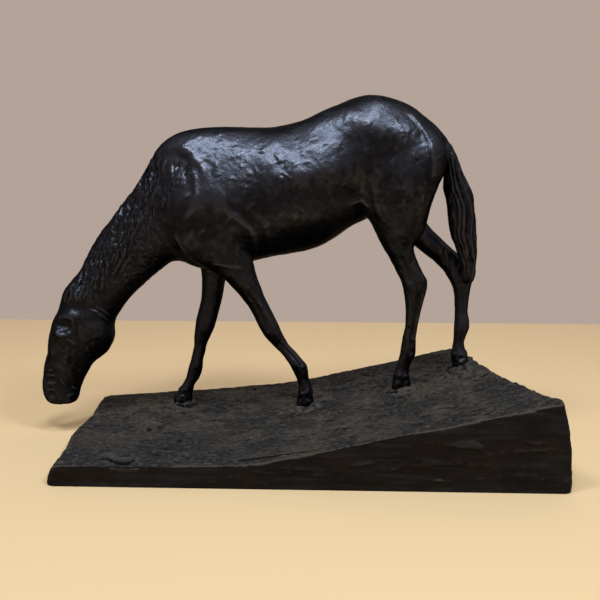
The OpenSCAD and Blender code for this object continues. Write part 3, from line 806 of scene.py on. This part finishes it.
KNEE, HOCK = 46, 66                                # heights over the sole, in mm
CORONET, BELOW_CORONET, HOOF_TOP = 9.5, 7.2, 14
for leg in LEGS:
    foot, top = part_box(leg)[0].z / MM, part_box(leg)[1].z / MM
    hind = "hind" in leg
    knee = foot + (HOCK if hind else KNEE)
    clay.field = smooth_step(top - clay.places[:, 2], 0, 6) * in_box(clay.places, leg, 2)
    clay.stroke(up_casting(leg, foot + 24, knee - 4, 0.62), 0.7, -0.45)
    clay.stroke(up_casting(leg, foot + 23, knee - 2, 0.84), 0.8, 0.35)
    clay.stroke(up_casting(leg, foot + 24, knee - 6, 0.25), 1.0, 0.2)
    clay.stroke(up_casting(leg, knee + 5, top - 4, 0.5), 1.2, -0.35)
    clay.stroke(up_casting(leg, knee + 3, top - 8, 0.75), 1.3, 0.35)
    clay.mass(up_casting(leg, knee, knee + 1, 0.3)[0], (2.4, 3), 0.4)
    clay.mass(up_casting(leg, foot + 22, foot + 23, 0.7)[0], (2, 2.4), 0.4)
    height = clay.places[:, 2] - foot
    hoof = np.exp(-((height - CORONET) / 1.3) ** 2) * 0.2
    hoof -= np.exp(-((height - BELOW_CORONET) / 1.2) ** 2) * 0.1
    rough = smooth_step(HOOF_TOP - height, 0, 4) * (0.3 * noise(clay.places, 2.0, 4.4) +
                                              0.2 * noise(clay.places, 1.1, 7.3))
    clay.lift += (hoof + rough) * clay.field
    for _ in range(14):
        z = HAND.uniform(foot + 4, top - 6)
        clay.stroke(up_casting(leg, z, min(z + HAND.uniform(3, 12), top), HAND.uniform(0.2, 0.8), 3),
                    HAND.uniform(0.5, 0.8), HAND.uniform(0.12, 0.3) * HAND.choice([-1, 1]), taper=0.4)

clay.field = (clay.places[:, 0] > 86) * (clay.places[:, 2] > 92) * \
    smooth_step(9 - abs(clay.places[:, 1] - MEDIAN), 0, 1.5) * smooth_step(clay.places[:, 0], 87, 92)
tail_low, tail_high = (corner.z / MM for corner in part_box("tail_casting"))
for share, width, height in ((0.62, 0.7, -0.9), (0.8, 0.9, 0.5), (0.42, 0.6, -0.35), (0.5, 0.9, 0.35),
                             (0.25, 0.6, -0.3), (0.33, 0.7, 0.2), (0.72, 0.4, -0.25), (0.9, 0.5, -0.3)):
    clay.stroke(up_casting("tail_casting", tail_low + 3, tail_high - 3, share, 9, 0.08), width, height,
                taper=0.08)
for _ in range(70):
    z = HAND.uniform(tail_low, tail_high - 8)
    clay.stroke(up_casting("tail_casting", z, min(z + HAND.uniform(6, 22), tail_high - 1),
                           HAND.uniform(0.08, 0.92), 5, 0.03),
                HAND.uniform(0.4, 0.6), HAND.uniform(0.12, 0.32) * HAND.choice([-1, 1]), taper=0.3)
clay.lift += clay.field * 0.35 * noise(clay.places * (1, 1, 0.3), 2.0, 8.8)
clay.field = np.ones(len(clay.places))
print("legs and tail drawn")

clay.done()

# %% [markdown]
# ## The joints
#
# The skin is now cut where the castings really meet. The corners two castings share give the
# plane of each joint. A bisection lays a clean loop of edges there, splitting the loop sets
# the part free, and a flat cap closes both sides.


# %% Cut the joints
# The tail hangs so close to the rump that a plane would run on into it. So it is taken out
# with a grown copy of its own casting, cut off flat in the joint's plane.
TOOL_VOXEL = 0.5 * MM
TOOL_GROWTH = 1.5
tool = cut_with(merged_copy("tail_casting", "tool"), merged_copy("tail_dowel", "peg"), "UNION")
apply(tool, "REMESH", mode="VOXEL", voxel_size=TOOL_VOXEL)
tool = keep_largest(tool)
set_corners(tool, corners(tool) + normals(tool) * TOOL_GROWTH)
centre, direction, _ = joint("body_casting", "tail_casting")
direction = direction * np.sign(direction @ (centre - corners(tool).mean(0)))
edit_all(tool)
bpy.ops.mesh.bisect(plane_co=centre * MM, plane_no=direction, use_fill=True, clear_outer=True)
bpy.ops.object.mode_set(mode="OBJECT")
only(skin)
bpy.ops.object.duplicate()
tail = keep_largest(cut_with(bpy.context.object, tool, "INTERSECT", keep_tool=True))
skin = keep_largest(cut_with(skin, tool, "DIFFERENCE"))
tail.name = "tail_casting_skin"
print("tail cut free, with", len(tail.data.polygons), "faces")

# %% Cut the other joints
ROUND_JOINT = 3.5                                  # mm that the cut runs past the joint's rim
JOINTS = [("body_casting", part) for part in (*LEGS, "neck_casting")]
JOINTS += [("neck_casting", "head_casting")]
for pair in JOINTS:
    centre, direction, radius = joint(*pair)
    select_faces(skin, np.linalg.norm(face_centres(skin) - centre, axis=1) < radius + ROUND_JOINT)
    bpy.ops.mesh.bisect(plane_co=centre * MM, plane_no=direction, threshold=0.000001)
    bpy.ops.mesh.edge_split(type="EDGE")
    bpy.ops.object.mode_set(mode="OBJECT")

parts = separate(skin)
print("the skin falls into", len(parts), "parts")


# %% Name the parts and cap them
def box_centre(piece):
    places = corners(piece)
    return (places.min(0) + places.max(0)) / 2


parts.sort(key=lambda part: -len(part.data.polygons))
pieces = {"tail_casting": tail}
for part in parts[:len(CASTINGS) - 1]:
    middle_of_part = box_centre(part)
    name = min(CASTINGS,
               key=lambda node: np.linalg.norm(box_centre(nodes[node]) - middle_of_part))
    pieces[name] = part
    part.name = name + "_skin"
    only(part)
    bpy.context.tool_settings.mesh_select_mode = (True, False, False)
    bpy.ops.object.mode_set(mode="EDIT")
    bpy.ops.mesh.select_all(action="DESELECT")
    bpy.ops.mesh.select_non_manifold(extend=False, use_wire=False, use_multi_face=False,
                                     use_non_contiguous=False, use_verts=False)
    bpy.ops.mesh.fill_holes(sides=0)
    bpy.ops.object.mode_set(mode="OBJECT")
print({name: len(piece.data.polygons) for name, piece in pieces.items()})

# %% [markdown]
# ## The ground
#
# The base is a shell of rough ground. Its outer side gets small, even faces like the horse's
# and is worked in the same way, in plan for the top and in front view for the sides.
# Nobody sees the inside closely, so its faces are thinned out again.

# %% Remesh the base and thin its inside
GROUND_VOXEL = 0.85 * MM
FACES_KEPT = 0.55                                  # of those on the inside
HOLLOW_MIDDLE = np.array([25, 0, 5])
base = merged_copy("base_casting", "base_skin")
apply(base, "REMESH", mode="VOXEL", voxel_size=GROUND_VOXEL)


def faces_inwards(clay):
    """Which corners lie on the inside of the shell."""
    return np.einsum("ij,ij->i", clay.normals, HOLLOW_MIDDLE - clay.places) > 0


inside = base.vertex_groups.new(name="inside")
inside.add(np.nonzero(faces_inwards(Clay(base)))[0].tolist(), 1.0, "REPLACE")
apply(base, "DECIMATE", ratio=FACES_KEPT, vertex_group="inside")
base.vertex_groups.clear()
print("base has", len(base.data.polygons), "faces")

# %% Work the top of the ground
earth = Clay(base)
outside = 1.0 - faces_inwards(earth)
upward = smooth_step(earth.normals[:, 2], 0.3, 0.75) * outside
sideways = (1 - smooth_step(abs(earth.normals[:, 2]), 0.4, 0.8)) * outside
earth.lift += upward * (0.60 * noise(earth.places * (0.5, 1, 1), 14) +
                        0.45 * noise(earth.places * (0.6, 1, 1), 6, 3.1) +
                        0.34 * noise(earth.places, 3.2, 1.7) + 0.26 * noise(earth.places, 1.8, 7.7))
half_depth = round(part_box("base_casting")[1].y / MM, 3)
edge = smooth_step(half_depth - abs(earth.places[:, 1]), 0, 5)      # the long edges stay fair
earth.lift *= 0.35 + 0.65 * edge
earth.field = upward * (0.3 + 0.7 * edge)
FLAT = {"sides": (0,), "axes": (0, 1)}
for line, width, height in (
        ([(-98, 15), (-82, 8), (-64, -8), (-53, -20)], 2.4, 0.8),
        ([(-62, 32), (-50, 12), (-32, 7), (-22, 8), (-6, 14)], 2.2, 0.9),
        ([(-50, -6), (-32, 3), (-6, 12), (4, 15)], 1.5, 0.6),
        ([(-20, 58), (-1, 47), (30, 42), (60, 44)], 3.2, 0.8),
        ([(10, 8), (40, -6), (70, -12), (95, -20)], 4, 0.5),
        ([(20, -30), (50, -38), (80, -40), (105, -44)], 3.5, -0.5),
        ([(-44, -38), (-38, -46), (-28, -54), (-18, -65)], 4, -0.7),
        ([(-98, -20), (-80, -30), (-60, -34), (-40, -30)], 3, -0.5),
        ([(-70, -45), (-55, -50), (-45, -58)], 2, 0.5)):
    earth.stroke(line, width, height, **FLAT)
# the crack by the thin end, and the pits by the thick one
earth.field = smooth_step(earth.normals[:, 2], 0.1, 0.4) * outside
earth.shelf([(-99, -57.5), (-93, -55), (-89, -58.5), (-84, -60), (-76, -59.5)], 0.5, 0.5, 4, **FLAT)
earth.stroke([(-98, -60), (-93, -57.5), (-89, -61.5), (-77, -62.5)], 1.6, -1.5, taper=0.1, **FLAT)
earth.stroke([(-88, -62.5), (-84, -63.5), (-78, -63.5)], 2.6, -1.1, **FLAT)
earth.mass((-82, -68), (5.5, 3.5), -1.2, **FLAT)
earth.field = upward * (0.3 + 0.7 * edge)
for centre in ((105.6, -51), (122.4, -13), (115.9, 13), (82.7, 35), (-60, -33), (70, -57)):
    earth.mass(centre, (3, 1.6), -0.9, HAND.uniform(-30, 30), **FLAT)
    earth.mass(np.add(centre, (0.5, -2.4)), (3, 1.2), 0.4, **FLAT)


def scatter(count, low, high, length, width, height, lean, spread, **where):
    """Short strokes on the ground that mostly lean one way."""
    for _ in range(count):
        start = HAND.uniform(low, high)
        angle = math.radians(HAND.normal(lean, spread))
        way = np.array([math.cos(angle), math.sin(angle)]) * HAND.uniform(*length)
        bend = np.array([-way[1], way[0]]) * HAND.normal(0, 0.1)
        earth.stroke([start, start + way / 2 + bend, start + way], HAND.uniform(*width),
                     HAND.uniform(*height) * HAND.choice([-1, 1]), taper=0.4, **where)


scatter(170, (-105, -70), (125, 65), (5, 24), (0.7, 1.8), (0.25, 0.7), 5, 25, **FLAT)
for _ in range(150):
    size = HAND.uniform(0.6, 1.5)
    earth.mass(HAND.uniform((-105, -68), (120, 66)), (size, size), HAND.uniform(-0.6, 0.8), **FLAT)
print("top worked")

# %% Heap rough earth round the hooves
HOOF_RADIUS, HEAP_WIDTH = 7.0, 3.0
for leg in LEGS:
    places = corners(nodes[leg])
    x, y = places[places[:, 2] < places[:, 2].min() + 4].mean(0)[:2]
    gap = np.hypot(earth.places[:, 0] - x, earth.places[:, 1] - y)
    collar = np.exp(-((gap - HOOF_RADIUS) / HEAP_WIDTH) ** 2)
    earth.lift += upward * collar * (1.1 + 1.3 * noise(earth.places, 2.2, 5.5))
    for turn in HAND.uniform(0, 2 * math.pi, 9):
        way = np.array([math.cos(turn), math.sin(turn)])
        middle_of_hoof = np.array([x, y])
        earth.stroke([middle_of_hoof + way * 6, middle_of_hoof + way * HAND.uniform(10, 17)], 1.1,
                     HAND.uniform(0.3, 0.8), **FLAT)
print("earth heaped")

# %% Work the sides
earth.lift += sideways * (0.45 * noise(earth.places * (0.5, 0.5, 1), 13, 2.2) +
                          0.25 * noise(earth.places * (0.14, 0.14, 1), 2.4, 4.1) +
                          0.12 * noise(earth.places, 2.0, 6.3))
earth.field = sideways
FRONT = {"sides": (-1,), "axes": (0, 2)}
scatter(70, (-100, 1), (140, 44), (10, 45), (0.5, 0.9), (0.12, 0.3), 3, 5, **FRONT)
scatter(50, (-100, 1), (140, 44), (10, 45), (0.5, 0.9), (0.12, 0.3), 3, 5, sides=(1,), axes=(0, 2))
scatter(40, (-70, 1), (70, 44), (6, 30), (0.5, 0.9), (0.12, 0.3), 3, 5, sides=(0,), axes=(1, 2))
earth.mass((95, 25), (9, 2.0), 0.9, -2, **FRONT)
earth.stroke([(86, 24.6), (92, 27.2), (99, 26.8), (104.5, 24)], 0.6, 0.6, **FRONT)
earth.stroke([(86, 23.6), (95, 22.6), (104, 23)], 0.8, -0.5, **FRONT)
earth.stroke([(38, 24.2), (46, 25.6)], 0.5, 0.4, **FRONT)
earth.stroke([(76, 6.8), (90, 5.6)], 0.5, 0.4, **FRONT)
DEEPEST = -2.8
earth.lift = np.maximum(earth.lift, DEEPEST)       # the shell is only 4 mm thick on top
earth.lift -= sideways * 0.35                      # and the sides keep to the solid's own
earth.lift -= sideways * np.maximum(earth.lift - 0.3, 0) * 0.8
earth.lift *= smooth_step(earth.places[:, 2], 0, 2.5)
earth.done()

# %% [markdown]
# ## Handing over the pieces
#
# Each worked skin stands in for the solid of the same name and rides on the one rigid body.
# Faces that meet at less than 40 degrees shade smoothly, so that the caps of the joints and
# the foot of the base stay crisp.

# %% Tie each skin to its solid
pieces["base_casting"] = base
for name, piece in pieces.items():
    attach(piece, "root")
    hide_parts(name)
    only(piece)
    bpy.ops.object.shade_smooth_by_angle(angle=math.radians(40))
print({name: len(piece.data.polygons) for name, piece in pieces.items()})

# %% [markdown]
# ## The horse's patina
#
# Heated bronze is brushed with chemicals until it turns nearly black, then it is waxed. Hands
# rub the ridges, and those turn a cooler, brighter grey. The rounded upper flanks are painted
# brighter as well, partly as wear and partly as a painted sheen where the high lamps fall, and
# short lighter streaks are painted glints. Painting each place by hand would be slow, so the
# relief that the tools left says what is a ridge, and the slope of the surface says where the
# wear and the painted sheen go. A dark metal with a soft gloss does the rest.
# The head and the mane are duller, because wax and dust stay in them.

# %% Mix the dark bronze
bronze = Paint("dark_bronze")
grain = bronze.noise(900, 3, 0.5)
marks = bronze.noise(420, 3, 0.55)
cloud = bronze.noise(60, 3)
ridge = bronze.relief(-0.08, 0.26)
drawn = bronze.noise(480, 3, 0.6, stretch=(1, 1, 5), turn=(0, -0.75, 0))
shaggy_part = 1.0 - bronze.along(0).band(-80, -66)
upward_slope = bronze.facing(2)
# Upward slopes are painted lighter: partly wear, partly a painted sheen where the high lamps fall. The
# flattest tops, the head and the mane get less of it.
rubbed_and_sheen = upward_slope.band(-0.1, 0.6) * (1.0 - 0.75 * upward_slope.band(0.72, 0.97))
rubbed_and_sheen = rubbed_and_sheen * (1.0 - 0.7 * shaggy_part)
patina = bronze.mix(cloud.band(0.3, 0.7), rgb(0.0095, 0.0092, 0.0108), rgb(0.0145, 0.0148, 0.0185))
patina = bronze.mix(rubbed_and_sheen, patina, rgb(0.042, 0.045, 0.056))
# Lighter streaks along the drawn strokes, where the cloud allows: painted glints.
patina = bronze.mix(drawn.band(0.54, 0.70) * cloud.band(0.42, 0.62) * 0.45, patina,
                    rgb(0.050, 0.052, 0.064))
bronze.feed(bronze.shader, {
    "Base Color": bronze.mix(ridge * 0.7, patina, rgb(0.050, 0.051, 0.061)),
    "Metallic": 0.92,
    "Roughness": 0.25 + grain * 0.08 + cloud * 0.08 - ridge * 0.05 + shaggy_part * 0.06,
    "Specular IOR Level": 0.4,
    "Specular Tint": rgb(0.15, 0.15, 0.17)})
bronze.bump(grain * 0.35 + marks * 0.5 + drawn * 0.5, 0.25)
print("dark bronze has", len(bronze.tree.nodes), "nodes")

# %% [markdown]
# ## The ground's patina
#
# The same bronze looks like earth here. It is left rough and dusty: warm brown patches over
# near black, pale grit on the ridges, dark hollows, and long streaks on the sides from the
# file. The crack and the deepest hollows get a painted shadow. The top and the sides differ,
# so each gets its own sum of colours, and the slope of the surface blends them. The edge
# between them is painted lighter, partly for wear and partly as a painted highlight.

# %% Colour the top of the ground
ground = Paint("ground_bronze")
speck = ground.noise(1100, 4, 0.65)
dust = ground.noise(45, 4, 0.6)
mottle = ground.noise(220, 3, 0.6)
grit = ground.noise(560, 4, 0.7, stretch=(1.6, 1, 1))
near_corner = (1.0 - ground.along(0).band(-70, 50)) * (1.0 - ground.along(1).band(-50, 10))
top = ground.mix(dust.band(0.4, 0.62), rgb(0.013, 0.012, 0.011), rgb(0.044, 0.034, 0.024))
LAYERS = (
    (mottle.band(0.5, 0.75) * 0.5, rgb(0.024, 0.025, 0.028)),            # cool patches
    (near_corner * 0.6, rgb(0.014, 0.0145, 0.0165)),                     # the thin end's corner
    (1.0 - ground.relief(-0.5, 0.0), rgb(0.008, 0.007, 0.006)),          # hollows
    (ground.relief(0.08, 0.6) * 0.5, rgb(0.062, 0.056, 0.048)),          # ridges
    (grit.band(0.52, 0.66) * 0.75, rgb(0.070, 0.063, 0.054)),            # pale grit
    ((1.0 - grit.band(0.34, 0.48)) * 0.7, rgb(0.007, 0.0065, 0.0065)),   # dark grit
    (speck.band(0.62, 0.68) * 0.8, rgb(0.15, 0.15, 0.145)))              # bright specks
for share, colour in LAYERS:
    top = ground.mix(share, top, colour)
print("the top has", len(LAYERS), "layers over its dust")

# %% Colour its sides and join the two
streak = ground.noise(260, 3, 0.6, stretch=(10, 10, 1))
sides = ground.mix(dust.band(0.35, 0.65), rgb(0.0125, 0.0095, 0.0075), rgb(0.0085, 0.0065, 0.0055))
sides = ground.mix(streak.band(0.5, 0.7) * 0.6, sides, rgb(0.018, 0.0175, 0.020))
sides = ground.mix(ground.relief(0.03, 0.3) * 0.6, sides, rgb(0.034, 0.029, 0.026))
# The crack and the deepest hollows are painted near black: a painted shadow.
slot_x = ground.along(0).band(-91, -87) * (1.0 - ground.along(0).band(-79, -76))
slot_y = ground.along(1).band(-66, -64.5) * (1.0 - ground.along(1).band(-61, -59.5))
painted_shadow_in_hollows = (slot_x * slot_y).larger(1.0 - ground.relief(-0.8, -0.3))    # painted shadow in the crack and the deepest hollows
upward_slope = ground.facing(2)
# The slanted edge between top and sides is painted lighter: partly wear, partly a painted highlight.
worn_edge_and_highlight = upward_slope.band(0.2, 0.45) * (1.0 - upward_slope.band(0.6, 0.85))
shaded = ground.mix(upward_slope.band(0.35, 0.8), sides, top)
shaded = ground.mix(worn_edge_and_highlight * 0.6, shaded, rgb(0.085, 0.070, 0.055))
ground.feed(ground.shader, {
    "Base Color": ground.mix(painted_shadow_in_hollows, shaded, rgb(0.003, 0.0025, 0.002)),
    "Roughness": 0.58 + speck * 0.2,
    "Specular IOR Level": 0.05,
    "Specular Tint": rgb(1.0, 0.88, 0.75)})
ground.bump(speck * 0.5 + mottle * 0.4 + grit * 0.8, 0.65)
print("ground bronze has", len(ground.tree.nodes), "nodes")

# %% [markdown]
# ## Bare metal inside
#
# The dowels and studs are cut from yellow rod and have tarnished a little. The washers and
# nuts are plain ones of zinc-plated steel with a faint spangle. Nobody looks closely here, so
# each gets one small pattern for its colour and gloss, and a finer one for its relief.

# %% Mix the yellow metal and the zinc steel
yellow = Paint("yellow_metal")
tarnish = yellow.noise(300, 3)
yellow.feed(yellow.shader, {
    "Base Color": yellow.mix(tarnish.band(0.4, 0.7), rgb(0.55, 0.36, 0.14), rgb(0.30, 0.19, 0.09)),
    "Metallic": 1.0,
    "Roughness": 0.30 + tarnish * 0.25})
yellow.bump(yellow.noise(700, 2), 0.05)

zinc = Paint("zinc_steel")
spangle = zinc.cells(400)
zinc.feed(zinc.shader, {
    "Base Color": zinc.mix(spangle.band(0.2, 0.8), rgb(0.50, 0.51, 0.53), rgb(0.40, 0.41, 0.43)),
    "Metallic": 1.0,
    "Roughness": 0.34 + spangle * 0.12})
zinc.bump(zinc.noise(600, 2), 0.04)
print("bare metals mixed")

# %% [markdown]
# ## Giving out the finishes
#
# The worked skins get their patina. The solids from CAD get a finish too, also where a skin
# stands in for them, so that each can be shown by itself. The floor is matt and plain, as
# a pale table is under soft light.


# %% Give every piece its metal
def coat(piece, paint):
    piece.data.materials.clear()
    piece.data.materials.append(paint.material)


for piece in pieces.values():
    coat(piece, ground if piece is base else bronze)
for name, piece in nodes.items():
    if "washer" in name or "nut" in name:
        coat(piece, zinc)
    elif "stud" in name or "dowel" in name:
        coat(piece, yellow)
    else:
        coat(piece, bronze)

# %% Finish the floor
pale = Paint("pale_floor")
pale.feed(pale.shader, {"Base Color": rgb(0.68, 0.475, 0.245), "Roughness": 0.8})
coat(floor, pale)
print("materials:", sorted(material.name for material in bpy.data.materials if material.users))
